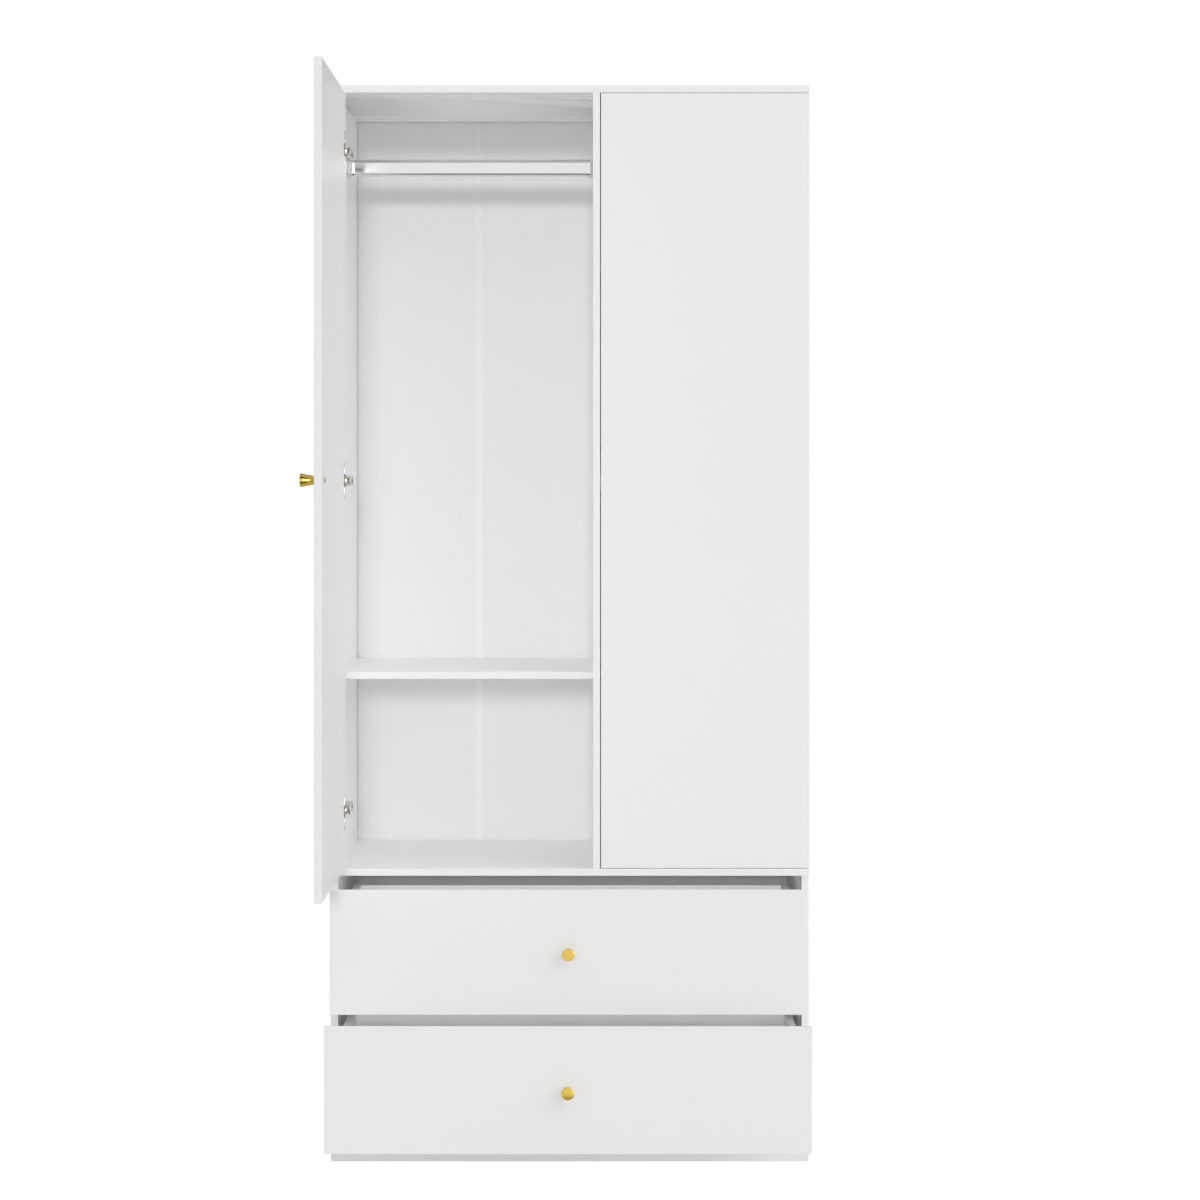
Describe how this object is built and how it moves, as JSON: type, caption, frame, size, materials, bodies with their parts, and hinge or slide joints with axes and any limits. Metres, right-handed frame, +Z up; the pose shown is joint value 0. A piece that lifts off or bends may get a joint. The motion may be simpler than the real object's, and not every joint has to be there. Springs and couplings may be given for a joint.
{
  "type": "wardrobe",
  "caption": "Tall white wardrobe with hinged doors over inset drawers, a hanging rail, inner shelves, concealed hinges and gold cone knobs.",
  "frame": {"origin": "on the floor, at the middle of the width, in the plane of the side panels' front edges", "axes": "+X to the right seen from the front, +Y to the back, +Z up"},
  "size_m": [0.8114, 0.8617, 1.8],
  "materials": {
    "melamine_board": "satin white melamine-faced board",
    "back_sheet": "white foil on thin fibreboard",
    "white_plastic": "white moulded plastic",
    "chrome_tube": "bright chrome plate",
    "nickel_steel": "nickel-plated steel",
    "zinc_steel": "zinc-plated steel",
    "gold_knob": "polished gold-coloured metal",
    "birch_dowel": "plain birch"
  },
  "bodies": {
    "carcass": {"left_side_panel": "melamine_board", "right_side_panel": "melamine_board", "top_panel": "melamine_board", "middle_panel": "melamine_board", "bottom_panel": "melamine_board", "centre_divider": "melamine_board", "plinth_front": "melamine_board", "plinth_back": "melamine_board", "back_panel_left": "back_sheet", "back_panel_right": "back_sheet", "back_joiner": "white_plastic", "left_shelf": "melamine_board", "right_shelves": "melamine_board", "shelf_pins": "nickel_steel", "clothes_rail": "chrome_tube", "rail_brackets": "chrome_tube", "assembly_screws": "zinc_steel", "screw_caps": "white_plastic", "dowels": "birch_dowel", "hinge_plates": "nickel_steel", "left_hinge_arms": "nickel_steel", "right_hinge_arms": "nickel_steel", "hinge_arm_pins": "nickel_steel", "slide_cabinet_members": "zinc_steel", "fitting_screws": "zinc_steel", "push_catch_body": "white_plastic"},
    "push_plunger": {"push_catch_plunger": "nickel_steel"},
    "left_hinge_outer_link": {"left_outer_links": "nickel_steel"},
    "left_hinge_inner_link": {"left_inner_links": "nickel_steel"},
    "left_door": {"left_door": "melamine_board", "left_hinge_cups": "nickel_steel", "left_cup_pins": "nickel_steel", "left_door_screws": "zinc_steel", "left_door_knob": "gold_knob"},
    "right_hinge_outer_link": {"right_outer_links": "nickel_steel"},
    "right_hinge_inner_link": {"right_inner_links": "nickel_steel"},
    "right_door": {"right_door": "melamine_board", "right_hinge_cups": "nickel_steel", "right_cup_pins": "nickel_steel", "right_door_screws": "zinc_steel"},
    "upper_drawer": {"upper_drawer_front": "melamine_board", "upper_drawer_side_left": "melamine_board", "upper_drawer_side_right": "melamine_board", "upper_drawer_back": "melamine_board", "upper_drawer_bottom": "back_sheet", "upper_drawer_knob": "gold_knob", "upper_drawer_fasteners": "zinc_steel", "upper_slide_drawer_members": "zinc_steel"},
    "upper_slide_middle": {"upper_slide_middle_members": "zinc_steel", "upper_slide_balls": "chrome_tube"},
    "lower_drawer": {"lower_drawer_front": "melamine_board", "lower_drawer_side_left": "melamine_board", "lower_drawer_side_right": "melamine_board", "lower_drawer_back": "melamine_board", "lower_drawer_bottom": "back_sheet", "lower_drawer_knob": "gold_knob", "lower_drawer_fasteners": "zinc_steel", "lower_slide_drawer_members": "zinc_steel"},
    "lower_slide_middle": {"lower_slide_middle_members": "zinc_steel", "lower_slide_balls": "chrome_tube"}
  },
  "joints": [
    {"name": "left_door_swing", "type": "hinge", "parent": "left_hinge_outer_link", "child": "left_door", "pos_m": [-0.3784, -0.0205, 1.14], "axis": [0, 0, -1], "range_deg": [-149.83, 8.32]},
    {"name": "left_outer_link_swing", "type": "hinge", "parent": "carcass", "child": "left_hinge_outer_link", "pos_m": [-0.3706, -0.00491, 1.14], "axis": [0, 0, 1], "range_deg": [-59.84, 3.33]},
    {"name": "left_inner_link_swing", "type": "hinge", "parent": "carcass", "child": "left_hinge_inner_link", "pos_m": [-0.37465, 0.00111, 1.14], "axis": [0, 0, 1], "range_deg": [-55.51, 3.09]},
    {"name": "right_door_swing", "type": "hinge", "parent": "right_hinge_outer_link", "child": "right_door", "pos_m": [0.388, -0.006, 1.14], "axis": [0, 0, 1], "range_deg": [0, 158.15]},
    {"name": "right_outer_link_swing", "type": "hinge", "parent": "carcass", "child": "right_hinge_outer_link", "pos_m": [0.3706, -0.00491, 1.14], "axis": [0, 0, -1], "range_deg": [0, 63.16]},
    {"name": "right_inner_link_swing", "type": "hinge", "parent": "carcass", "child": "right_hinge_inner_link", "pos_m": [0.37465, 0.00111, 1.14], "axis": [0, 0, -1], "range_deg": [0, 58.6]},
    {"name": "upper_drawer_slide", "type": "slide", "parent": "carcass", "child": "upper_drawer", "axis": [0, -1, 0], "range_m": [-0.181, 0.159]},
    {"name": "upper_middle_slide", "type": "slide", "parent": "carcass", "child": "upper_slide_middle", "axis": [0, -1, 0], "range_m": [-0.0905, 0.0795]},
    {"name": "lower_drawer_slide", "type": "slide", "parent": "carcass", "child": "lower_drawer", "axis": [0, -1, 0], "range_m": [-0.282, 0.058]},
    {"name": "lower_middle_slide", "type": "slide", "parent": "carcass", "child": "lower_slide_middle", "axis": [0, -1, 0], "range_m": [-0.141, 0.029]},
    {"name": "push_plunger_slide", "type": "slide", "parent": "carcass", "child": "push_plunger", "axis": [0, 1, 0], "range_m": [0, 0.002], "stiffness_N_per_m": 800}
  ],
  "couplings": [
    {"joint": "left_outer_link_swing", "follows": "left_door_swing", "ratio": 0.39933},
    {"joint": "left_inner_link_swing", "follows": "left_door_swing", "ratio": 0.37041},
    {"joint": "right_outer_link_swing", "follows": "right_door_swing", "ratio": 0.39933},
    {"joint": "right_inner_link_swing", "follows": "right_door_swing", "ratio": 0.37041},
    {"joint": "upper_middle_slide", "follows": "upper_drawer_slide", "ratio": 0.5},
    {"joint": "lower_middle_slide", "follows": "lower_drawer_slide", "ratio": 0.5}
  ]
}
